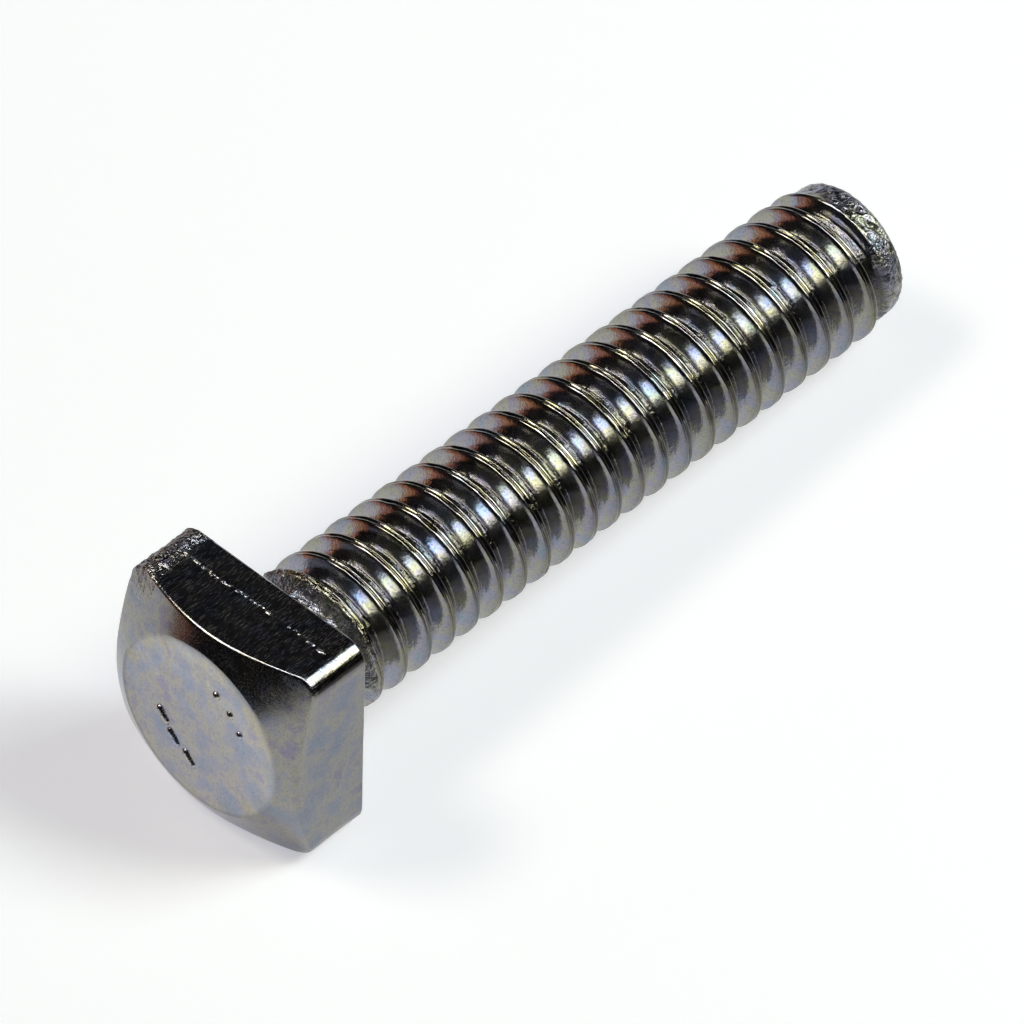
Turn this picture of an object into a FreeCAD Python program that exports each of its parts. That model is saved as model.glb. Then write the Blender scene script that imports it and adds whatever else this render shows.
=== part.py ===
import FreeCAD, Part
import math
import os

from FreeCAD import Vector

# A square head bolt with a coarse rolled thread, forged and rolled in one piece, in millimetres. The origin
# is the centre of the bearing face under the head. The bolt lies on a flat surface, on the lower edge of its
# bearing face and on the last full turn of thread at its tip, so its axis slopes down from the head.

# Head
across_flats = 9.3
head_height = 3.95
flat_corner_radius = 0.85
top_circle_diameter = 7.8
top_chamfer_deg = 28.0
bearing_edge_break = 0.12

# Shank and thread
length_under_head = 31.1
thread_major_diameter = 6.25
thread_pitch = 1.27
crest_flat = 0.26
root_flat = 0.2
flank_deg = 30.0
# Where the middle of the crest crosses the +Y side, measured from the bearing face
crest_phase = 0.54
# Each turn of the helix is this many straight steps
steps_per_turn = 24

# How the thread fades into the neck under the head
neck_length = 0.55
neck_flare = 0.42
crest_fade_in = 1.6
groove_fade_in = 1.5

# How the thread fades into the plain band at the tip, and how the band tapers and then rounds off
tip_band_length = 0.92
tip_band_drop = 0.06
tip_edge_length = 0.3
tip_edge_drop = 0.24
crest_fade_out = 0.6
groove_fade_out = 0.9

thread_depth = (thread_pitch - crest_flat - root_flat) / 2 / math.tan(math.radians(flank_deg))
major_radius = thread_major_diameter / 2
root_radius = major_radius - thread_depth
# The thread is rolled on a blank whose radius lies midway between root and crest
blank_radius = major_radius - thread_depth / 2
tip_band_radius = blank_radius - tip_band_drop
tip_face_radius = tip_band_radius - tip_edge_drop
# Well outside the thread
clear_radius = major_radius + thread_depth
tip_band_x = length_under_head - tip_band_length
tip_edge_x = length_under_head - tip_edge_length
last_full_crest_x = tip_band_x - crest_fade_out
inside_head_x = -head_height / 2


def revolved(points):
    """A solid of revolution about the X axis, from an outline of (x, radius) corners."""
    corners = [Vector(x, 0, radius) for x, radius in points]
    outline = Part.makePolygon(corners + [corners[0]])
    return Part.Face(outline).revolve(Vector(0, 0, 0), Vector(1, 0, 0), 360)


def helix_point(radius, start_x, step):
    """A point on a right-handed helix that starts on the +Y side at start_x."""
    turns = step / steps_per_turn
    angle = 2 * math.pi * turns
    return Vector(start_x + thread_pitch * turns, radius * math.cos(angle), radius * math.sin(angle))


def helix_step(radius, start_x, step):
    """The straight edge from one point of a helix to the next."""
    here = helix_point(radius, start_x, step)
    there = helix_point(radius, start_x, step + 1)
    return Part.LineSegment(here, there).toShape()


def ridge_profile():
    """The (x, radius) corners of one pitch of thread, from the foot of one ridge to the foot of the next."""
    half_crest = crest_flat / 2
    half_base = (thread_pitch - root_flat) / 2
    return [
        (-half_base, root_radius),
        (-half_crest, major_radius),
        (half_crest, major_radius),
        (half_base, root_radius),
        (thread_pitch - half_base, root_radius),
    ]


def turn_faces(start_x, turn):
    """The flank, crest and root faces of one turn of thread."""
    faces = []
    for step in range(turn * steps_per_turn, (turn + 1) * steps_per_turn):
        edges = [helix_step(radius, start_x + dx, step) for dx, radius in ridge_profile()]
        faces += [Part.makeRuledSurface(a, b) for a, b in zip(edges, edges[1:])]
    return faces


def step_face(middle_x):
    """The flat face on the +Y side that ends the thread, where the crest's middle is at middle_x."""
    profile = [(middle_x + dx, radius) for dx, radius in ridge_profile()]
    corners = [Vector(profile[0][0], 0, 0)]
    corners += [Vector(x, radius, 0) for x, radius in profile]
    corners += [Vector(profile[-1][0], 0, 0)]
    return Part.Face(Part.makePolygon(corners + [corners[0]]))


def ramp_faces(foot_x, turn):
    """The spiral ramp over one turn, from the axis out to the foot of the thread, that meets a step face."""
    faces = []
    for step in range(turn * steps_per_turn, (turn + 1) * steps_per_turn):
        inner = helix_step(0, foot_x, step)
        outer = helix_step(root_radius, foot_x, step)
        faces.append(Part.makeRuledSurface(inner, outer))
    return faces


def threaded_rod():
    """Full thread all the way, from inside the head to beyond the tip."""
    start_x = crest_phase - thread_pitch * math.ceil(crest_phase / thread_pitch)
    turns = math.ceil((length_under_head - start_x) / thread_pitch) + 1
    first_foot_x = start_x + ridge_profile()[0][0]
    last_foot_x = start_x + ridge_profile()[-1][0]
    faces = [step_face(start_x), step_face(start_x + thread_pitch * turns)]
    faces += ramp_faces(first_foot_x, 0)
    faces += ramp_faces(last_foot_x, turns - 1)
    for turn in range(turns):
        faces += turn_faces(start_x, turn)
    skin = Part.makeCompound(faces)
    skin.sewShape()
    return Part.Solid(skin.Shells[0])


def groove_fill(solid_x, blank_x, root_x):
    """Fills the grooves wholly from solid_x to blank_x, then down a cone that meets the root at root_x."""
    slope = (root_radius - blank_radius) / (root_x - blank_x)
    hidden_x = root_x + (root_x - blank_x) / 2
    hidden_radius = blank_radius + slope * (hidden_x - blank_x)
    return revolved(
        [
            (solid_x, 0),
            (solid_x, clear_radius),
            (blank_x, clear_radius),
            (blank_x, blank_radius),
            (hidden_x, hidden_radius),
            (hidden_x, 0),
        ]
    )


def shank_outline():
    """The flared neck, the crests' outside with its fades at both ends, and the rounded tip."""
    first_full_crest_x = neck_length + crest_fade_in
    return revolved(
        [
            (inside_head_x, 0),
            (inside_head_x, blank_radius + neck_flare),
            (0, blank_radius + neck_flare),
            (neck_flare, blank_radius),
            (neck_length, blank_radius),
            (first_full_crest_x, major_radius),
            (first_full_crest_x, clear_radius),
            (last_full_crest_x, clear_radius),
            (last_full_crest_x, major_radius),
            (tip_band_x, blank_radius),
            (tip_edge_x, tip_band_radius),
            (length_under_head, tip_face_radius),
            (length_under_head, 0),
        ]
    )


def threaded_shank():
    """The rod of full thread with its grooves filled and its crests trimmed towards both ends."""
    beyond_tip_x = length_under_head + tip_band_length
    neck_fill = groove_fill(inside_head_x, neck_length, neck_length + groove_fade_in)
    tip_fill = groove_fill(beyond_tip_x, tip_band_x, tip_band_x - groove_fade_out)
    return threaded_rod().fuse([neck_fill, tip_fill]).common(shank_outline())


def rounded_block():
    """The square block of the head with its four upright edges rounded."""
    half = across_flats / 2
    corners = [Vector(0, y * half, z * half) for y, z in ((1, 1), (-1, 1), (-1, -1), (1, -1))]
    outline = Part.Face(Part.makePolygon(corners + [corners[0]]))
    block = outline.extrude(Vector(-head_height, 0, 0))
    upright = [e for e in block.Edges if abs(e.Vertexes[0].X - e.Vertexes[1].X) > head_height / 2]
    return block.makeFillet(flat_corner_radius, upright)


def head_outline():
    """The flat top circle of the head, with the conical chamfer that widens from it past the corners."""
    half_diagonal = across_flats / math.sqrt(2)
    circle_radius = top_circle_diameter / 2
    rim_x = -head_height + (half_diagonal - circle_radius) * math.tan(math.radians(top_chamfer_deg))
    return revolved(
        [
            (-head_height, 0),
            (-head_height, circle_radius),
            (rim_x, half_diagonal),
            (0, half_diagonal),
            (0, 0),
        ]
    )


def square_head():
    """The square head, with broken edges at the bearing face and corners chamfered towards the top."""
    block = rounded_block()
    bearing_edges = [e for e in block.Edges if max(abs(v.X) for v in e.Vertexes) < bearing_edge_break / 2]
    block = block.makeChamfer(bearing_edge_break, bearing_edges)
    return block.common(head_outline())


def rest_angle_deg():
    """The slope of the axis when the bearing face's lower edge and the last full crest touch one surface."""
    # The crest starts on the +Y side and meets the surface, on the -Z side, after three quarters of each turn
    turns_to_last = math.floor((last_full_crest_x - crest_phase) / thread_pitch - 0.75) + 0.75
    crest_x = crest_phase + thread_pitch * turns_to_last + crest_flat / 2
    drop = across_flats / 2 - major_radius
    return math.degrees(math.atan(drop / (crest_x + bearing_edge_break)))


def bolt():
    """The whole bolt, lying on the surface that it rests on."""
    solid = square_head().fuse(threaded_shank()).Solids[0]
    solid.rotate(Vector(0, 0, 0), Vector(0, 1, 0), rest_angle_deg())
    return solid


os.makedirs("parts", exist_ok=True)
bolt().exportStep("parts/square_head_bolt.step")
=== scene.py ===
import math

import bmesh
import bpy
from mathutils import Matrix, Vector, noise

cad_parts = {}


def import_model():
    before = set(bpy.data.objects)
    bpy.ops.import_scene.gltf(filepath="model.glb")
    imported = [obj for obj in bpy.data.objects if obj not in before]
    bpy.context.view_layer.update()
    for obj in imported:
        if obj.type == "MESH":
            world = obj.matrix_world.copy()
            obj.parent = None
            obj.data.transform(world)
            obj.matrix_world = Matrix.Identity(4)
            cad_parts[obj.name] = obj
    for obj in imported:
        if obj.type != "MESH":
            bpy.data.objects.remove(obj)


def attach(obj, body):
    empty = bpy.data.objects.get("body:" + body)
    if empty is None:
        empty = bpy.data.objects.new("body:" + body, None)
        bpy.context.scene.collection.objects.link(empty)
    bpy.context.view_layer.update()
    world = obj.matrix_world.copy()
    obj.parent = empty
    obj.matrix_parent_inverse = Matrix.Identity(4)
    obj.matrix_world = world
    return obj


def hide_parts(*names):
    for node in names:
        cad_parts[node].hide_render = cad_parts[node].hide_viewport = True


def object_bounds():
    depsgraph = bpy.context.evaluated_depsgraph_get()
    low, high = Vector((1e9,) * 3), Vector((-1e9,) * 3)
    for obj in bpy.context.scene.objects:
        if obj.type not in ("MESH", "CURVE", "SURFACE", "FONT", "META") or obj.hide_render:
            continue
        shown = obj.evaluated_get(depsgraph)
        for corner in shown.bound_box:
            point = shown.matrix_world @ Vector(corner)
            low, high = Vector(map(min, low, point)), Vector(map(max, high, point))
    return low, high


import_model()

cad_low, cad_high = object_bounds()

# Sizes in millimetres, as in the CAD source
ACROSS_FLATS = 9.3
HEAD_HEIGHT = 3.95
FLAT_CORNER_RADIUS = 0.85
TOP_CIRCLE_RADIUS = 3.9
TOP_CHAMFER_DEG = 28.0
BEARING_EDGE_BREAK = 0.12
LENGTH = 31.1
MAJOR_RADIUS = 3.125
PITCH = 1.27
CREST_FLAT = 0.26
ROOT_FLAT = 0.2
FLANK_DEG = 30.0
CREST_PHASE = 0.54
NECK_LENGTH = 0.55
NECK_FLARE = 0.42
CREST_FADE_IN = 1.6
GROOVE_FADE_IN = 1.5
TIP_BAND_LENGTH = 0.92
TIP_BAND_DROP = 0.06
CREST_FADE_OUT = 0.6
GROOVE_FADE_OUT = 0.9
REST_ANGLE_DEG = 2.941

THREAD_DEPTH = (PITCH - CREST_FLAT - ROOT_FLAT) / 2 / math.tan(math.radians(FLANK_DEG))
ROOT_RADIUS = MAJOR_RADIUS - THREAD_DEPTH
BLANK_RADIUS = MAJOR_RADIUS - THREAD_DEPTH / 2
TIP_RADIUS = BLANK_RADIUS - TIP_BAND_DROP
TIP_BAND_X = LENGTH - TIP_BAND_LENGTH

# How finely the skins are divided
STEPS_PER_TURN = 128
FLAT_COLUMNS = 88
CORNER_COLUMNS = 20
FILLET_STEPS = 5
MARK_STEPS = 24
# Places across one pitch of thread, from the middle of the crest, close together over the crest
CREST_PLACES = [0.025, 0.055, 0.08, 0.10, 0.12, 0.14]
FLANK_PLACES = [0.165, 0.24, 0.40, 0.505, 0.55, 0.59]
ONE_SIDE = CREST_PLACES + FLANK_PLACES
ACROSS = [-PITCH / 2] + [-w for w in reversed(ONE_SIDE)] + [0.0] + ONE_SIDE
# The shank's skin starts inside the head, where no one sees its end
SKIN_START_X = CREST_PHASE - PITCH
# Corners closer than this many metres become one
WELD_DISTANCE = 1e-7

# Fine detail on the shank, in millimetres
ROOT_ROUNDING = 0.05
CREST_ROUNDING = 0.04
GROOVE_ROUNDING = 0.08
OUTLINE_ROUNDING = 0.06
LIP_HEIGHT = 0.024
LIP_WIDTH = 0.026
LIP_TO_SEAM = 0.085
LIP_DRIFT = 0.014
TALLEST_LIP_SHARE = 1.2
SEAM_DEPTH = 0.038
SEAM_WIDTH = 0.034
SEAM_DRIFT = 0.016
SEAM_JITTER = 0.012
NICK_DEPTH = 0.05
NICK_WIDTH = 0.12
CREST_WIDTH = 0.14
SHOULDER_WIDTH = 0.24
# From the middle of the crest to where the root begins, and to where it is level
ROOT_BEGINS = 0.45
ROOT_LEVEL = 0.56
ROOT_WAVE = 0.03
ROOT_WAVES_PER_TURN = 40
GRAIN_HEIGHT = 0.09
GRAIN_PER_MM = 4.0
# A grain of this value leaves the radius as it is
GRAIN_LEVEL = 0.3
# How much grain there is on the neck, on the tip and on all of the shank
NECK_GRAIN = 1.5
TIP_GRAIN = 0.5
SHANK_GRAIN = 0.06
ROUGH_NECK_X = 1.7
ROUGH_NECK_FADE = 1.0
ROUGH_TIP_FADE = 0.35
TIP_EDGE_RADIUS = 0.26
TIP_BURR = 0.12
END_FACE_SINK = 0.015
END_FACE_WAVE = 0.012
END_FACE_WAVES_PER_MM = 2.2
# How much smoother the end face is than the tip's band, and how far in from its border that is reached
END_FACE_SMOOTHER = 0.7
END_FACE_FADE = 0.3
# From 0 to 1, how far painted shade darkens the root, the neck's pits and the filled groove, and how scuffed
# the root is
ROOT_SHADE = 0.8
NECK_PIT_SHADE = 0.6
FILLED_GROOVE_SHADE = 0.7
ROOT_SCUFFED = 0.3

# Fine detail on the head, in millimetres
# Radii of its edges: the top circle, the chamfer's rim and the two edges at the bearing face
EDGE_RADII = (0.25, 0.16, 0.05, 0.04)
# A point this share of the radius outside each end of a rounding keeps the shading flat beyond it
LEAD_SHARE = 0.25
AXIS_HOLE = 0.05
FLECK_LINE_X = -1.25
FLECK_LINE_DRIFT = 0.12
FLECK_LINE_JITTER = 0.05
FLECK_LINE_WIDTH = 0.035
FLECK_HEIGHT = 0.015
BEHIND_LINE_SCUFFED = 0.12
TOP_WAVE = 0.02
SIDE_WAVE = 0.02
BATTERING = 0.06
BATTERED_CORNER = (4.2, 4.5)
BATTERED_REACH = 1.1
# About how far the head's sides are from its axis
SIDE_RADIUS = 5.0
# A place on the chamfer, between its ends
ON_CHAMFER_X = -3.2
# The width of the polish along the chamfer's rim and just inside the top circle
RIM_POLISH_WIDTH = 0.07
CIRCLE_POLISH_WIDTH = 0.3
# Where the band of painted shade on an upright edge starts, is whole, starts to fade and ends, in degrees
# round the edge
SHADE_BAND_DEG = (8, 20, 42, 52)
# From 0 to 1, how far painted shade darkens that band and the chamfer, and how dark the chamfer's rim and
# the pits of the battered corner are
SHADE_BAND_DARK = 0.92
CHAMFER_SHADE = 0.5
RIM_DARK = 0.5
PIT_DARK = 0.8

# Plain raised dots and short bars on the head: place along Y and Z, length, turn in degrees
HEAD_MARKS = [
    (-2.05, 1.05, 0.0, 0),
    (-1.55, 1.75, 0.0, 0),
    (-0.85, 2.25, 0.0, 0),
    (1.85, -0.75, 0.5, 50),
    (1.30, -1.55, 0.5, 50),
    (0.50, -2.10, 0.5, 50),
]
MARK_RADIUS = 0.21
MARK_SINK = 0.08
MARK_DARK = 0.1
MARK_SCUFFED = 0.2

# What each corner of a skin carries for its material, from 0 to 1
# The dark layer is mostly painted shade: in the thread's roots, pits, seams and crests, and outside the
# head's top circle and on its upright edges
SKIN_LAYERS = ("dark", "scuffed", "polished")

# The clouds of colour in the plating, from blue through grey to yellow and violet
HEAD_TINTS = [
    (0.34, (0.36, 0.41, 0.51)),
    (0.45, (0.43, 0.44, 0.51)),
    (0.55, (0.51, 0.50, 0.45)),
    (0.66, (0.40, 0.38, 0.49)),
]
THREAD_TINTS = [
    (0.34, (0.27, 0.32, 0.38)),
    (0.45, (0.32, 0.31, 0.37)),
    (0.56, (0.35, 0.35, 0.28)),
    (0.67, (0.32, 0.30, 0.37)),
]
SPECKS = [(0.36, (0.05, 0.05, 0.05)), (0.50, (1, 1, 1))]
POLISHED_TINT = (1.0, 0.96, 0.80)
# The near black that the dark layer multiplies in, mostly as painted shade
DARK_TINT = (0.10, 0.09, 0.07)

# How many times the noises in the plating repeat in a metre
CLOUD_SCALE = 800.0
PATCH_SCALE = 1500.0
COARSE_SCALE = 3200.0
FINE_SCALE = 8500.0
SPECK_SCALE = 11000.0
LINE_SCALE = 27000.0
# The bump height in metres that a noise of 1 stands for
BUMP_HEIGHT = 0.00002
# How much the coarse and the fine bumps grow where the skin is scuffed
SCUFFED_COARSE_BUMPS = 4.6
SCUFFED_FINE_BUMPS = 2.2
# Roughness from patch to patch, and what brushed lines, scuffs and polish add to it
HEAD_ROUGHNESS = (0.07, 0.13)
THREAD_ROUGHNESS = (0.12, 0.21)
LINE_ROUGHNESS = 0.20
SCUFFED_ROUGHNESS = 0.05
POLISHED_ROUGHNESS = -0.06
# How high the brushed lines are, and their scale along the axis against that across it
LINE_BUMPS = 0.12
LINE_STRETCH = 0.09

# The lamps and cards, in metres. They face this point of the bolt
AIM = (0.012, 0, 0)
# Lamps: name, direction, distance, width, height, brightness, colour, and whether the floor shows its light
LAMPS = [
    ("key_high", (0.50, -0.39, 0.775), 0.5, 0.20, 0.10, 14.3, (0.80, 0.93, 1.0), True),
    ("key_low", (0.50, -0.59, 0.63), 0.5, 0.20, 0.11, 12.0, (1.0, 1.0, 0.76), True),
    ("strip", (0.0, -0.17, 0.985), 0.5, 0.042, 0.92, 26.0, (1.0, 0.99, 0.95), False),
    ("overhead", (-0.30, 0.46, 0.82), 0.6, 0.20, 0.14, 10.0, (1.0, 0.93, 0.78), True),
]
BLACK = (0.01, 0.01, 0.01)
# Cards that face the bolt: name, direction, distance, width, height, colour, width of the soft edge
CARDS = [
    ("dark_card", (-0.985, 0.17, 0.10), 0.06, 0.085, 0.05, BLACK, 0.014),
    ("dark_flag", (0.50, -0.86, 0.10), 0.06, 0.16, 0.04, BLACK, 0.012),
    ("pale_card", (0.50, 0.86, 0.08), 0.20, 0.30, 0.08, (0.9, 0.9, 1.0), 0.03),
]
# Upright cards behind the bolt: name, place, width, height, colour, width of the soft edge
STRIPS = [
    ("brown_strip", (-0.009, 0.030, 0.0050), 0.050, 0.0090, (0.85, 0.34, 0.20), 0.0038),
    ("rosy_strip", (-0.0435, 0.030, 0.0008), 0.021, 0.0058, (0.60, 0.25, 0.17), 0.0022),
    ("dark_strip", (-0.020, 0.031, 0.0118), 0.075, 0.0140, BLACK, 0.0022),
]
# The card that lies on the floor in front of the bolt
FLOOR_SHADE_PLACE = (0.0455, -0.041)
FLOOR_SHADE_SIZE = (0.089, 0.078)
FLOOR_SHADE_COLOUR = (0.36, 0.36, 0.40)
FLOOR_SHADE_SOFT_EDGE = 0.011
ABOVE_FLOOR = 0.0001

FLOOR_REACH = 4.0
FLOOR_COLOUR = (0.8, 0.8, 0.8, 1)
FLOOR_GLOW_COLOUR = (0.93, 0.93, 1, 1)
FLOOR_GLOW = 0.50
HORIZON_COLOUR = (1, 1, 1, 1)
CEILING_COLOUR = (0.015, 0.015, 0.018, 1)
HORIZON_HEIGHT = 0.03

# The camera, where the perspective of the photograph puts it
SENSOR_WIDTH_MM = 36
LENS_MM = 474.45
CAMERA_PLACE_MM = (-225.869, -234.553, 371.42)
CAMERA_TARGET_MM = (12.34, -0.215, -1.214)
CAMERA_ROLL_DEG = -1.158
NEAREST_SEEN = 0.01
FARTHEST_SEEN = 20


def lying(x, y, z):
    """A point of the bolt along its own axis, in millimetres, put where the bolt lies, in metres."""
    c = math.cos(math.radians(REST_ANGLE_DEG))
    s = math.sin(math.radians(REST_ANGLE_DEG))
    return Vector((x * c + z * s, y, -x * s + z * c)) / 1000


def wander(seed, u, scale):
    """Smooth noise along a line, between about -1 and 1. Each seed gives its own line in every run."""
    return noise.noise(Vector((u * scale, seed * 17.31, seed * 5.77)))


def lumps(place, sizes=3):
    """Smooth noise in space, in several sizes at once, the same in every run."""
    return noise.fractal(place, 1.0, 2.0, sizes)


def blend_min(a, b, k):
    """The lower of two values, with the crossing rounded over a width of k."""
    h = max(k - abs(a - b), 0) / k
    return min(a, b) - h * h * k / 4


def blend_max(a, b, k):
    """The higher of two values, with the crossing rounded over a width of k."""
    return -blend_min(-a, -b, k)


def smooth_step(low, high, value):
    """0 below low, 1 above high, and a smooth rise between them."""
    t = min(max((value - low) / (high - low), 0), 1)
    return t * t * (3 - 2 * t)


def hump(distance, width):
    """1 at a distance of 0, and nearly 0 beyond twice the width."""
    return math.exp(-((distance / width) ** 2))


def flat_hump(distance, width):
    """Like hump, but nearly level up to half the width."""
    return math.exp(-((distance / width) ** 4))


def thread_radius(w):
    """The radius of the thread at w from the middle of its crest."""
    flank = MAJOR_RADIUS - (abs(w) - CREST_FLAT / 2) / math.tan(math.radians(FLANK_DEG))
    radius = blend_max(flank, ROOT_RADIUS, ROOT_ROUNDING)
    return blend_min(radius, MAJOR_RADIUS - LIP_HEIGHT, CREST_ROUNDING)


def crest_seam(w, turn):
    """The double lip and the seam that rolling leaves along the crest: height, darkness and polish. The
    darkness is painted shade, and in the seam partly dirt too.
    """
    drift = SEAM_DRIFT * wander(1, turn, 7) + SEAM_JITTER * wander(6, turn, 45)
    lip = LIP_TO_SEAM + LIP_DRIFT * wander(2, turn, 6)
    near = hump(w - drift + lip, LIP_WIDTH)
    far = hump(w - drift - lip, LIP_WIDTH)
    seam = hump(w - drift, SEAM_WIDTH)
    near_share = 0.7 + 0.6 * wander(3, turn, 9) + 0.9 * wander(7, turn, 60)
    far_share = 0.6 + 0.7 * wander(4, turn, 11) + 0.9 * wander(8, turn, 50)
    lips = near * min(near_share, TALLEST_LIP_SHARE) + far * min(far_share, TALLEST_LIP_SHARE)
    nick = smooth_step(0.2, 0.5, wander(9, turn, 19)) * hump(w, NICK_WIDTH)
    height = LIP_HEIGHT * lips - SEAM_DEPTH * seam - NICK_DEPTH * nick
    crest = flat_hump(w, CREST_WIDTH)
    shoulder = flat_hump(w, SHOULDER_WIDTH)
    # Painted shade on the crest, its shoulders and nicks; in the seam partly dirt, partly painted shade
    dark = 0.28 * shoulder + 0.12 * crest + 0.2 * seam + 0.3 * nick
    return height, min(dark, 1), crest


def outline_radius(x):
    """How far out the shank reaches at x, with the neck's flare, the crests' fades and the tip's burr."""
    corners = [
        (0, BLANK_RADIUS + NECK_FLARE),
        (NECK_FLARE, BLANK_RADIUS),
        (NECK_LENGTH, BLANK_RADIUS),
        (NECK_LENGTH + CREST_FADE_IN, MAJOR_RADIUS),
        (TIP_BAND_X - CREST_FADE_OUT, MAJOR_RADIUS),
        (TIP_BAND_X, BLANK_RADIUS + TIP_BURR),
        (LENGTH, TIP_RADIUS + TIP_BURR),
    ]
    if x <= 0:
        return corners[0][1]
    for (x0, r0), (x1, r1) in zip(corners, corners[1:]):
        if x <= x1:
            return r0 + (r1 - r0) * (x - x0) / (x1 - x0)
    return corners[-1][1]


def groove_fill_radius(x):
    """How far the grooves are filled: wholly on the neck and the tip's band, with a cone next to each."""
    if x < NECK_LENGTH or x > TIP_BAND_X:
        return outline_radius(x)
    neck = BLANK_RADIUS - THREAD_DEPTH / 2 * (x - NECK_LENGTH) / GROOVE_FADE_IN
    tip = BLANK_RADIUS - THREAD_DEPTH / 2 * (TIP_BAND_X - x) / GROOVE_FADE_OUT
    return max(neck, tip)


def past_tip_edge(reach):
    """How far past the start of the tip's edge a place is, and how far of that is in over the end face."""
    past = reach - (LENGTH - TIP_EDGE_RADIUS)
    inward = max(past - TIP_EDGE_RADIUS * math.pi / 2, 0)
    return past, inward


def over_tip_edge(reach, radius, angle):
    """Folds the skin over the tip's rounded edge and in over its sheared end face: x and radius."""
    past, inward = past_tip_edge(reach)
    if past <= 0:
        return reach, radius
    turned = min(past / TIP_EDGE_RADIUS, math.pi / 2)
    x = reach - past + TIP_EDGE_RADIUS * math.sin(turned)
    radius = max(radius - TIP_EDGE_RADIUS * (1 - math.cos(turned)) - inward, 0)
    if inward > 0:
        place = Vector((radius * math.cos(angle), radius * math.sin(angle), 0))
        x -= END_FACE_SINK + END_FACE_WAVE * lumps(place * END_FACE_WAVES_PER_MM)
    return x, radius


def rough_ends(reach, inward):
    """How rough the skin is by the neck and by the tip, from 0 to 1."""
    neck = 1 - smooth_step(ROUGH_NECK_X, ROUGH_NECK_X + ROUGH_NECK_FADE, reach)
    tip = smooth_step(TIP_BAND_X - ROUGH_TIP_FADE, TIP_BAND_X, reach)
    return neck, tip * (1 - END_FACE_SMOOTHER * smooth_step(0, END_FACE_FADE, inward))


def grain(reach, angle, radius):
    """The rough grain of the skin at a place on the shank, between about -1 and 1."""
    inward = past_tip_edge(reach)[1]
    out = max(radius - inward, 0)
    return lumps(Vector((reach - inward, out * math.cos(angle), out * math.sin(angle))) * GRAIN_PER_MM)


def shank_point(reach, angle, w, turn):
    """A place on the shank's skin, at a reach along it, and how dark, scuffed and polished it is there."""
    lips, dark, crest = crest_seam(w, turn)
    full = thread_radius(w) + lips
    solid = groove_fill_radius(reach)
    outline = outline_radius(reach)
    radius = blend_min(blend_max(full, solid, GROOVE_ROUNDING), outline, OUTLINE_ROUNDING)
    on_thread = 1 - smooth_step(TIP_BAND_X - 0.15, TIP_BAND_X + 0.05, reach)
    clear = smooth_step(-0.12, 0.0, full - solid) * on_thread
    untrimmed = smooth_step(-0.15, -0.03, outline - full)
    root = smooth_step(ROOT_BEGINS, ROOT_LEVEL, abs(w)) * on_thread
    neck, tip = rough_ends(reach, past_tip_edge(reach)[1])
    rough = grain(reach, angle, radius)
    radius += GRAIN_HEIGHT * (NECK_GRAIN * neck + TIP_GRAIN * tip + SHANK_GRAIN) * (rough - GRAIN_LEVEL)
    radius += ROOT_WAVE * root * wander(5, turn, ROOT_WAVES_PER_TURN)
    # Painted shade in the low places of the neck's and tip's grain
    neck_pit_shade = NECK_PIT_SHADE * neck * smooth_step(-0.1, 0.3, -rough)
    tip_pit_shade = tip * smooth_step(-0.1, 0.5, -rough)
    # Painted shade in the root, the pits and the filled groove
    dark = max(dark * clear * untrimmed, ROOT_SHADE * root * clear, neck_pit_shade, tip_pit_shade)
    # The filled groove beside the tip's band, darkened with painted shade
    if full < solid and TIP_BAND_X - GROOVE_FADE_OUT < reach < TIP_BAND_X:
        dark = FILLED_GROOVE_SHADE
    x, radius = over_tip_edge(reach, radius, angle)
    place = lying(x, radius * math.cos(angle), radius * math.sin(angle))
    return place, dark, max(neck, tip, ROOT_SCUFFED * root), crest * clear


def new_skin():
    """An empty mesh whose corners carry how dark, scuffed and polished the skin is there."""
    mesh = bmesh.new()
    for name in SKIN_LAYERS:
        mesh.verts.layers.float.new(name)
    return mesh


def add_corner(mesh, place, dark, scuffed, polished=0.0):
    """One corner of a skin."""
    corner = mesh.verts.new(place)
    for name, value in zip(SKIN_LAYERS, (dark, scuffed, polished)):
        corner[mesh.verts.layers.float[name]] = value
    return corner


def shank_rows(mesh):
    """The corners of the shank's skin: at each step round the helix, one row across a pitch of thread."""
    over_tip = TIP_EDGE_RADIUS * (math.pi / 2 - 1) + TIP_RADIUS
    turns = math.ceil((LENGTH + over_tip - SKIN_START_X) / PITCH)
    rows = []
    for step in range(turns * STEPS_PER_TURN + 1):
        turn = step / STEPS_PER_TURN
        angle = 2 * math.pi * (step % STEPS_PER_TURN) / STEPS_PER_TURN
        centre = SKIN_START_X + PITCH * turn
        rows.append([add_corner(mesh, *shank_point(centre + w, angle, w, turn)) for w in ACROSS])
    return rows


def close_start(mesh, rows):
    """Closes the start of the shank's skin with triangles to a point on the axis."""
    loop = [row[0] for row in rows[: STEPS_PER_TURN + 1]] + rows[0][:0:-1]
    middle = mesh.verts.new(lying(SKIN_START_X, 0, 0))
    for a, b in zip(loop, loop[1:] + loop[:1]):
        mesh.faces.new((a, b, middle))


def shank_mesh():
    """The shank as one closed skin: a helical band of quads, with its start hidden inside the head."""
    mesh = new_skin()
    rows = shank_rows(mesh)
    for here, there in zip(rows, rows[1:]):
        for j in range(len(ACROSS) - 1):
            mesh.faces.new((here[j], here[j + 1], there[j + 1], there[j]))
    next_turn = rows[STEPS_PER_TURN:]
    for here, there, here_next, there_next in zip(rows, rows[1:], next_turn, next_turn[1:]):
        mesh.faces.new((here[-1], here_next[0], there_next[0], there[-1]))
    close_start(mesh, rows)
    # The skin's last turn lies on the axis, so this closes the tip
    bmesh.ops.remove_doubles(mesh, verts=mesh.verts, dist=WELD_DISTANCE)
    bmesh.ops.recalc_face_normals(mesh, faces=mesh.faces)
    return mesh


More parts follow.
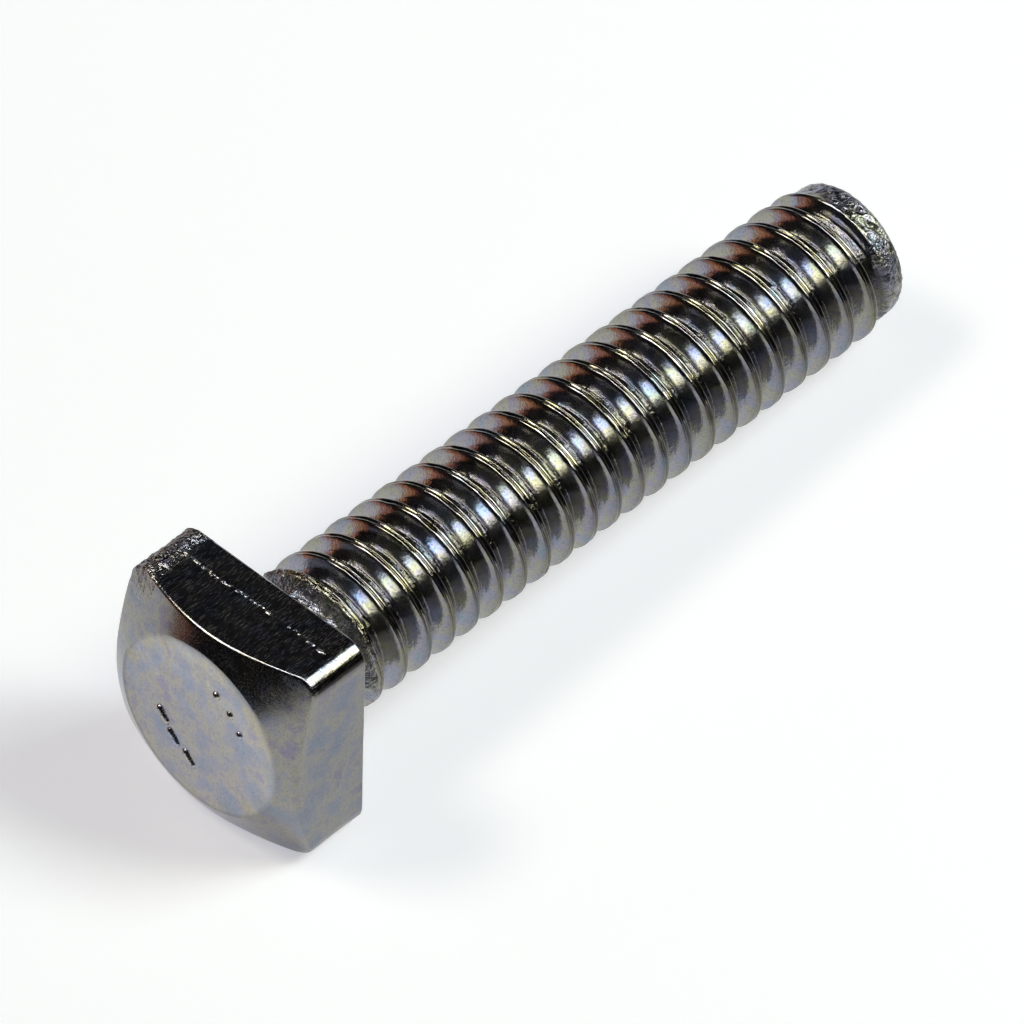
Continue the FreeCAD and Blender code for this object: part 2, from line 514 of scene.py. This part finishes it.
def square_outline():
    """Angle and radius of points round the square head, closer together at its rounded corners."""
    half = ACROSS_FLATS / 2
    flat = half - FLAT_CORNER_RADIUS
    quarter = [(half, -flat + 2 * flat * k / FLAT_COLUMNS) for k in range(FLAT_COLUMNS)]
    for k in range(CORNER_COLUMNS):
        a = math.pi / 2 * k / CORNER_COLUMNS
        y = flat + FLAT_CORNER_RADIUS * math.cos(a)
        z = flat + FLAT_CORNER_RADIUS * math.sin(a)
        quarter.append((y, z))
    points = []
    for side in range(4):
        turned = side * math.pi / 2
        points += [(math.atan2(z, y) + turned, math.hypot(y, z)) for y, z in quarter]
    return points


def filleted(corners, radii, steps):
    """A line of (x, radius) points along corners, with each inner corner rounded."""
    line = [Vector(corners[0])]
    for before, corner, after, radius in zip(corners, corners[1:], corners[2:], radii):
        c = Vector(corner)
        u = (Vector(before) - c).normalized()
        v = (Vector(after) - c).normalized()
        half = u.angle(v) / 2
        reach = radius / math.tan(half)
        middle = c + (u + v).normalized() * (radius / math.sin(half))
        a, b = c + u * reach, c + v * reach
        line.append(a + u * radius * LEAD_SHARE)
        for k in range(steps + 1):
            p = a.lerp(b, k / steps) - middle
            line.append(middle + p.normalized() * radius)
        line.append(b + v * radius * LEAD_SHARE)
    line.append(Vector(corners[-1]))
    return line


def mark_rings(mesh, centre_y, centre_z, length, turned):
    """The corners of one mark, a rounded bar or a ball, in rings from one of its ends to the other."""
    c = math.cos(math.radians(turned))
    s = math.sin(math.radians(turned))
    rings = []
    for k in range(MARK_STEPS + 1):
        lean = math.pi * k / MARK_STEPS
        end = length / 2 if k * 2 < MARK_STEPS else -length / 2
        along = end + MARK_RADIUS * math.cos(lean)
        ring = []
        for j in range(MARK_STEPS):
            around = 2 * math.pi * j / MARK_STEPS
            across = MARK_RADIUS * math.sin(lean) * math.cos(around)
            out = MARK_RADIUS * math.sin(lean) * math.sin(around)
            y = centre_y + along * c - across * s
            z = centre_z + along * s + across * c
            place = lying(MARK_SINK - HEAD_HEIGHT - out, y, z)
            ring.append(add_corner(mesh, place, MARK_DARK, MARK_SCUFFED))
        rings.append(ring)
    return rings


def mark_mesh():
    """The raised marks, partly sunk into the top of the head."""
    mesh = new_skin()
    for mark in HEAD_MARKS:
        rings = mark_rings(mesh, *mark)
        for a, b in zip(rings, rings[1:]):
            for j in range(MARK_STEPS):
                mesh.faces.new((a[j], a[j - 1], b[j - 1], b[j]))
    bmesh.ops.remove_doubles(mesh, verts=mesh.verts, dist=WELD_DISTANCE)
    bmesh.ops.recalc_face_normals(mesh, faces=mesh.faces)
    return mesh


def fleck_line(x, y, z, upright):
    """The broken line of flecks along the head's upper flat, and how scuffed the strip behind it is."""
    # Only on the upper flat, and not up to its borders
    side = upright * (1 - smooth_step(-0.3, -0.1, x))
    side *= smooth_step(4.3, 4.6, z) * (1 - smooth_step(3.5, 3.8, abs(y)))
    drift = FLECK_LINE_DRIFT * wander(11, y + z, 0.8) + FLECK_LINE_JITTER * wander(10, y + z, 5)
    past_line = x - (FLECK_LINE_X + drift)
    broken = smooth_step(-0.45, 0.1, wander(12, y + z, 1.3)) * smooth_step(-0.1, 0.25, wander(16, y + z, 9))
    flecks = broken * side * hump(past_line, FLECK_LINE_WIDTH)
    return flecks, BEHIND_LINE_SCUFFED * side * smooth_step(0, 0.1, past_line)


def battered_corner(y, z):
    """The battered back corner of the head, from 0 to 1."""
    away = math.hypot(y - BATTERED_CORNER[0], z - BATTERED_CORNER[1]) / BATTERED_REACH
    return max(1 - away * away, 0) ** 0.5


def shaded_corner_edge(x, y, z):
    """Painted shade on the head's upright edges: a dark band on one side and a few dark places on the other.
    """
    flat = ACROSS_FLATS / 2 - FLAT_CORNER_RADIUS
    if min(abs(y), abs(z)) < flat:
        return 0
    turned = math.degrees(math.atan2(abs(z) - flat, abs(y) - flat))
    start, whole, fading, end = SHADE_BAND_DEG
    band = smooth_step(start, whole, turned) * (1 - smooth_step(fading, end, turned))
    rest = (0.74 + 0.3 * wander(18, y * 2 + x * 3, 5)) * smooth_step(30, 50, turned)
    return max(SHADE_BAND_DARK * band, rest)


def side_swell(x, y, z, battered, flecks):
    """How far the head's sides stand out from their true form. By the bearing face they keep it."""
    if x > -0.1:
        return 0
    place = Vector((x, y, z))
    swell = SIDE_WAVE * lumps(place * 0.5 + Vector((9, 0, 0)), 2)
    swell += BATTERING * battered * (lumps(place * 3.1) - 0.8)
    return swell + FLECK_HEIGHT * flecks


def head_point(x, radius, angle, rim):
    """A place on the head's uneven forged skin, and how dark, scuffed and polished it is there."""
    y = radius * math.cos(angle)
    z = radius * math.sin(angle)
    top = 1 - smooth_step(0.0, 0.2, x + HEAD_HEIGHT)
    inner = 1 - smooth_step(TOP_CIRCLE_RADIUS - 0.9, TOP_CIRCLE_RADIUS - 0.1, radius)
    upright = smooth_step(0.1, 0.3, x - rim)
    relief = TOP_WAVE * lumps(Vector((3, y, z)) * 1.1)
    battered = battered_corner(y, z)
    flecks, behind_line = fleck_line(x, y, z, upright)
    scale = 1 + side_swell(x, y, z, battered, flecks) / SIDE_RADIUS
    place = lying(x + top * relief * inner, y * scale, z * scale)
    edge = hump(x - rim, RIM_POLISH_WIDTH) * (0.4 + 0.5 * wander(14, y + z, 1.5))
    ring = hump(radius - TOP_CIRCLE_RADIUS + CIRCLE_POLISH_WIDTH, CIRCLE_POLISH_WIDTH)
    ring *= 0.5 + wander(17, y - z, 0.9)
    past_circle = math.hypot(radius, (x + HEAD_HEIGHT) * 3) - TOP_CIRCLE_RADIUS
    # Painted shade outside the top circle: on the chamfer, the sides and the bearing face
    chamfer = CHAMFER_SHADE * smooth_step(-0.25, 0.1, past_circle)
    pits = PIT_DARK * battered * smooth_step(0, 0.5, wander(15, y * 3 + x, 4))
    dark = max(RIM_DARK * edge, pits, chamfer, upright * shaded_corner_edge(x, y, z))
    return place, dark, max(battered, flecks, behind_line), max(top * ring, edge, 0)


def head_column(outer):
    """One line down the head from its top to its bearing face, where its side is outer from the axis."""
    rim_x = -HEAD_HEIGHT + (outer - TOP_CIRCLE_RADIUS) * math.tan(math.radians(TOP_CHAMFER_DEG))
    corners = [
        (-HEAD_HEIGHT, AXIS_HOLE),
        (-HEAD_HEIGHT, TOP_CIRCLE_RADIUS),
        (rim_x, outer),
        (-BEARING_EDGE_BREAK, outer),
        (0, outer - BEARING_EDGE_BREAK),
        (0, AXIS_HOLE),
    ]
    return rim_x, filleted(corners, EDGE_RADII, FILLET_STEPS)


def longest_step(x):
    """How far apart the head's rings may be: close on its top and sides, wide on its bearing face."""
    hair = 0.01
    if x < -HEAD_HEIGHT + hair:
        return 0.055
    if x < ON_CHAMFER_X:
        return 0.1
    if x < -BEARING_EDGE_BREAK - hair:
        return 0.05
    return 0.4


def head_mesh():
    """The square head as one closed skin, in columns from its top to its bearing face."""
    mesh = new_skin()
    columns = [(angle, *head_column(outer)) for angle, outer in square_outline()]
    first_line = columns[0][2]
    # Each run between two points of a line is divided alike in every column
    parts = []
    for k in range(len(first_line) - 1):
        longest = max((line[k + 1] - line[k]).length for _, _, line in columns)
        parts.append(max(1, math.ceil(longest / longest_step(first_line[k].x))))
    skin = []
    for angle, rim_x, line in columns:
        places = []
        for k, count in enumerate(parts):
            places += [line[k].lerp(line[k + 1], step / count) for step in range(count)]
        places.append(line[-1])
        skin.append([add_corner(mesh, *head_point(p.x, p.y, angle, rim_x)) for p in places])
    for a, b in zip(skin, skin[1:] + skin[:1]):
        for k in range(len(a) - 1):
            mesh.faces.new((a[k], a[k + 1], b[k + 1], b[k]))
    mesh.faces.new([column[0] for column in skin])
    mesh.faces.new([column[-1] for column in reversed(skin)])
    bmesh.ops.recalc_face_normals(mesh, faces=mesh.faces)
    return mesh


def add_piece(name, mesh, material):
    """Puts a finished skin into the scene, riding on the one body."""
    data = bpy.data.meshes.new(name)
    mesh.to_mesh(data)
    mesh.free()
    data.polygons.foreach_set("use_smooth", [True] * len(data.polygons))
    data.materials.append(material)
    piece = bpy.data.objects.new(name, data)
    bpy.context.scene.collection.objects.link(piece)
    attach(piece, "root")
    return piece


class Nodes:
    """Short calls for making a node material."""

    def __init__(self, name):
        self.material = bpy.data.materials.new(name)
        self.material.use_nodes = True
        self.tree = self.material.node_tree
        self.tree.nodes.clear()
        self.links = self.tree.links

    def add(self, kind, **values):
        """A node with some of its settings."""
        node = self.tree.nodes.new(kind)
        for key, value in values.items():
            setattr(node, key, value)
        return node

    def put(self, node, **inputs):
        """Links or sets a node's inputs, each named, or numbered as i0, i1 and so on."""
        for key, value in inputs.items():
            numbered = key[0] == "i" and key[1:].isdigit()
            self.feed(node.inputs[int(key[1:]) if numbered else key], value)
        return node

    def feed(self, socket, value):
        """Links a socket to another node's output, or sets it to a value."""
        if isinstance(value, bpy.types.NodeSocket):
            self.links.new(value, socket)
        else:
            socket.default_value = value

    def math(self, operation, a, b=0.0, c=0.0):
        return self.put(self.add("ShaderNodeMath", operation=operation), i0=a, i1=b, i2=c).outputs[0]

    def spread(self, value, low, high, new_low, new_high):
        """Maps low to high onto new_low to new_high."""
        node = self.add("ShaderNodeMapRange")
        return self.put(node, i0=value, i1=low, i2=high, i3=new_low, i4=new_high).outputs[0]

    def noise(self, place, scale, detail, rough):
        node = self.add("ShaderNodeTexNoise")
        self.put(node, Vector=place, Scale=scale, Detail=detail, Roughness=rough)
        return node.outputs["Fac"]

    def ramp(self, value, stops):
        """A colour that follows a value through stops of (place, colour)."""
        node = self.add("ShaderNodeValToRGB")
        points = node.color_ramp.elements
        while len(points) < len(stops):
            points.new(0.5)
        for point, (place, colour) in zip(points, stops):
            point.position = place
            point.color = (*colour, 1)
        self.put(node, Fac=value)
        return node.outputs["Color"]

    def multiply(self, share, colour, by):
        """A colour multiplied by another, as far as share says."""
        node = self.add("ShaderNodeMix", data_type="RGBA", blend_type="MULTIPLY")
        fixed = isinstance(by, tuple)
        self.put(node, i0=share, i6=colour, i7=(*by, 1) if fixed else by)
        return node.outputs[2]

    def finish(self, surface):
        """Puts a shader on the surface and gives the finished material."""
        self.put(self.add("ShaderNodeOutputMaterial"), Surface=surface)
        return self.material


def skin_layers(n):
    """How dark, scuffed and polished the skin is, as its corners carry it."""
    return [n.add("ShaderNodeAttribute", attribute_name=name).outputs["Fac"] for name in SKIN_LAYERS]


def plating_colour(n, place, layers, tints, grain_share):
    """Clouds of faint colour with dark specks, a warmer tint where polished, and towards near black where
    the dark layer says, which is mostly painted shade.
    """
    dark, scuffed, polished = layers
    clouds = n.ramp(n.noise(place, CLOUD_SCALE, 3.0, 0.6), tints)
    specks = n.ramp(n.noise(place, SPECK_SCALE, 3.0, 0.7), SPECKS)
    tint = n.multiply(n.math("MULTIPLY_ADD", scuffed, 0.45, grain_share), clouds, specks)
    return n.multiply(dark, n.multiply(polished, tint, POLISHED_TINT), DARK_TINT)


def plating_bumps(n, place, layers, bump_share):
    """The height of two sizes of bumps, which grow where the skin is scuffed."""
    scuffed = layers[1]
    coarse = n.math("MULTIPLY_ADD", scuffed, SCUFFED_COARSE_BUMPS, bump_share)
    fine = n.math("MULTIPLY_ADD", scuffed, SCUFFED_FINE_BUMPS, bump_share * 0.6)
    coarse = n.math("MULTIPLY", n.noise(place, COARSE_SCALE, 4.0, 0.6), coarse)
    fine = n.math("MULTIPLY", n.noise(place, FINE_SCALE, 2.0, 0.5), fine)
    return n.math("ADD", coarse, fine)


def brushed_lines(n, place):
    """Fine lines along the bolt's axis."""
    stretched = n.add("ShaderNodeMapping")
    n.put(stretched, Vector=place, Scale=(LINE_STRETCH, 1.0, 1.0))
    n.put(stretched, Rotation=(0, math.radians(REST_ANGLE_DEG), 0))
    return n.noise(stretched.outputs[0], LINE_SCALE, 2.0, 0.6)


def plated(n, layers, tint, rough, bumps):
    """Bare metal with a colour, roughness and bumps, rougher where scuffed and smoother where polished."""
    _, scuffed, polished = layers
    rough = n.math("MULTIPLY_ADD", scuffed, SCUFFED_ROUGHNESS, rough)
    rough = n.math("MULTIPLY_ADD", polished, POLISHED_ROUGHNESS, rough)
    bump = n.put(n.add("ShaderNodeBump"), Strength=1.0, Distance=BUMP_HEIGHT, Height=bumps).outputs[0]
    shader = n.add("ShaderNodeBsdfPrincipled")
    n.put(shader, Metallic=1.0, Roughness=rough, Normal=bump)
    n.feed(shader.inputs["Base Color"], tint)
    return n.finish(shader.outputs[0])


def head_steel():
    """The head's zinc plating: smooth, with brushed lines."""
    n = Nodes("zinc_plating_brushed")
    place = n.add("ShaderNodeTexCoord").outputs["Object"]
    layers = skin_layers(n)
    tint = plating_colour(n, place, layers, HEAD_TINTS, grain_share=0.24)
    lines = brushed_lines(n, place)
    patches = n.spread(n.noise(place, PATCH_SCALE, 4.0, 0.6), 0.3, 0.7, *HEAD_ROUGHNESS)
    rough = n.math("ADD", patches, n.spread(lines, 0.42, 0.66, 0.0, LINE_ROUGHNESS))
    bumps = plating_bumps(n, place, layers, bump_share=0.045)
    return plated(n, layers, tint, rough, n.math("MULTIPLY_ADD", lines, LINE_BUMPS, bumps))


def thread_steel():
    """The shank's zinc plating: darker and bumpier than the head's."""
    n = Nodes("zinc_plating_rolled")
    place = n.add("ShaderNodeTexCoord").outputs["Object"]
    layers = skin_layers(n)
    tint = plating_colour(n, place, layers, THREAD_TINTS, grain_share=0.3)
    rough = n.spread(n.noise(place, PATCH_SCALE, 4.0, 0.6), 0.3, 0.7, *THREAD_ROUGHNESS)
    bumps = plating_bumps(n, place, layers, bump_share=0.32)
    return plated(n, layers, tint, rough, bumps)


def face_bolt(piece, direction, distance):
    """Places a lamp or card in a direction from the bolt and turns it to face the bolt."""
    towards = Vector(direction).normalized()
    piece.location = Vector(AIM) + towards * distance
    piece.rotation_mode = "QUATERNION"
    piece.rotation_quaternion = towards.to_track_quat("Z", "Y")


def lamp(name, direction, distance, width, height, brightness, colour, on_floor):
    """A soft area lamp that faces the bolt, as bright as a mirror would show it, where 1 is white."""
    data = bpy.data.lights.new(name, "AREA")
    data.shape = "RECTANGLE"
    data.size = width
    data.size_y = height
    data.energy = brightness * math.pi * width * height
    data.color = colour
    piece = bpy.data.objects.new(name, data)
    piece.visible_diffuse = on_floor
    bpy.context.scene.collection.objects.link(piece)
    face_bolt(piece, direction, distance)


def card_material(name, width, height, colour, soft_edge):
    """A glow of one colour that fades out towards the card's edges."""
    n = Nodes(name)
    split = n.put(n.add("ShaderNodeSeparateXYZ"), Vector=n.add("ShaderNodeTexCoord").outputs["Object"])
    from_side = n.math("SUBTRACT", width / 2, n.math("ABSOLUTE", split.outputs["X"]))
    from_end = n.math("SUBTRACT", height / 2, n.math("ABSOLUTE", split.outputs["Y"]))
    across = n.spread(from_side, 0.0, soft_edge, 0.0, 1.0)
    along = n.spread(from_end, 0.0, soft_edge, 0.0, 1.0)
    clear = n.add("ShaderNodeBsdfTransparent")
    glow = n.put(n.add("ShaderNodeEmission"), Color=(*colour, 1), Strength=1.0)
    both = n.add("ShaderNodeMixShader")
    n.put(both, i0=n.math("MULTIPLY", across, along), i1=clear.outputs[0], i2=glow.outputs[0])
    return n.finish(both.outputs[0])


def card(name, width, height, colour, soft_edge):
    """A studio card with soft edges that only reflections show, to shape them as in the photograph."""
    data = bpy.data.meshes.new(name)
    w, h = width / 2, height / 2
    data.from_pydata([(-w, -h, 0), (w, -h, 0), (w, h, 0), (-w, h, 0)], [], [(0, 1, 2, 3)])
    data.materials.append(card_material(name, width, height, colour, soft_edge))
    piece = bpy.data.objects.new(name, data)
    bpy.context.scene.collection.objects.link(piece)
    piece.visible_camera = False
    piece.visible_diffuse = False
    piece.visible_shadow = False
    return piece


def cards():
    """The cards that stand round the bolt, and the one that lies on the floor in front of it."""
    for name, direction, distance, width, height, colour, soft_edge in CARDS:
        face_bolt(card(name, width, height, colour, soft_edge), direction, distance)
    shade = card("floor_shade", *FLOOR_SHADE_SIZE, FLOOR_SHADE_COLOUR, FLOOR_SHADE_SOFT_EDGE)
    shade.location = (*FLOOR_SHADE_PLACE, cad_low.z + ABOVE_FLOOR)
    for name, place, width, height, colour, soft_edge in STRIPS:
        strip = card(name, width, height, colour, soft_edge)
        strip.location = place
        strip.rotation_euler = (math.radians(90), 0, 0)


def floor_material():
    """White that glows a little for the camera and in reflections, and otherwise takes light and shadow."""
    n = Nodes("floor_white")
    rays = n.add("ShaderNodeLightPath")
    seen = n.math("MAXIMUM", rays.outputs["Is Camera Ray"], rays.outputs["Is Glossy Ray"])
    seen = n.math("MAXIMUM", seen, rays.outputs["Is Transmission Ray"])
    glow = n.add("ShaderNodeEmission")
    n.put(glow, Color=FLOOR_GLOW_COLOUR, Strength=n.math("MULTIPLY", seen, FLOOR_GLOW))
    base = n.put(n.add("ShaderNodeBsdfDiffuse"), Color=FLOOR_COLOUR)
    both = n.put(n.add("ShaderNodeAddShader"), i0=glow.outputs[0], i1=base.outputs[0])
    return n.finish(both.outputs[0])


def floor():
    """The pale surface that the bolt lies on."""
    level = cad_low.z
    corners = [(x * FLOOR_REACH, y * FLOOR_REACH, level) for x, y in ((-1, -1), (1, -1), (1, 1), (-1, 1))]
    data = bpy.data.meshes.new("floor")
    data.from_pydata(corners, [], [(0, 1, 2, 3)])
    data.materials.append(floor_material())
    piece = bpy.data.objects.new("floor", data)
    bpy.context.scene.collection.objects.link(piece)


def world():
    """A room that is pale at the horizon and dark above."""
    room = bpy.data.worlds.new("room")
    bpy.context.scene.world = room
    room.use_nodes = True
    tree = room.node_tree
    tree.nodes.clear()
    coordinates = tree.nodes.new("ShaderNodeTexCoord")
    split = tree.nodes.new("ShaderNodeSeparateXYZ")
    tree.links.new(coordinates.outputs["Generated"], split.inputs[0])
    ramp = tree.nodes.new("ShaderNodeValToRGB")
    low, high = ramp.color_ramp.elements
    low.position = 0.0
    low.color = HORIZON_COLOUR
    high.position = HORIZON_HEIGHT
    high.color = CEILING_COLOUR
    tree.links.new(split.outputs["Z"], ramp.inputs[0])
    back = tree.nodes.new("ShaderNodeBackground")
    tree.links.new(ramp.outputs[0], back.inputs[0])
    out = tree.nodes.new("ShaderNodeOutputWorld")
    tree.links.new(back.outputs[0], out.inputs[0])


def camera():
    """The photograph's viewing angle."""
    data = bpy.data.cameras.new("camera")
    data.sensor_width = SENSOR_WIDTH_MM
    data.lens = LENS_MM
    data.clip_start = NEAREST_SEEN
    data.clip_end = FARTHEST_SEEN
    piece = bpy.data.objects.new("camera", data)
    piece.location = Vector(CAMERA_PLACE_MM) / 1000
    target = Vector(CAMERA_TARGET_MM) / 1000
    facing = (target - piece.location).to_track_quat("-Z", "Y")
    roll = Matrix.Rotation(math.radians(CAMERA_ROLL_DEG), 4, "Z")
    piece.rotation_mode = "QUATERNION"
    piece.rotation_quaternion = (facing.to_matrix().to_4x4() @ roll).to_quaternion()
    bpy.context.scene.collection.objects.link(piece)
    bpy.context.scene.camera = piece


def bolt():
    """The bolt's pieces: the head and the shank, which replace the CAD solid, and the marks on the head."""
    steel = head_steel()
    head = add_piece("bolt_head", head_mesh(), steel)
    shank = add_piece("bolt_shank", shank_mesh(), thread_steel())
    add_piece("head_marks", mark_mesh(), steel)
    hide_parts("square_head_bolt")
    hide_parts("square_head_bolt")


camera()
world()
floor()
for settings in LAMPS:
    lamp(*settings)
cards()
bolt()

bpy.context.scene.view_settings.view_transform = "Standard"
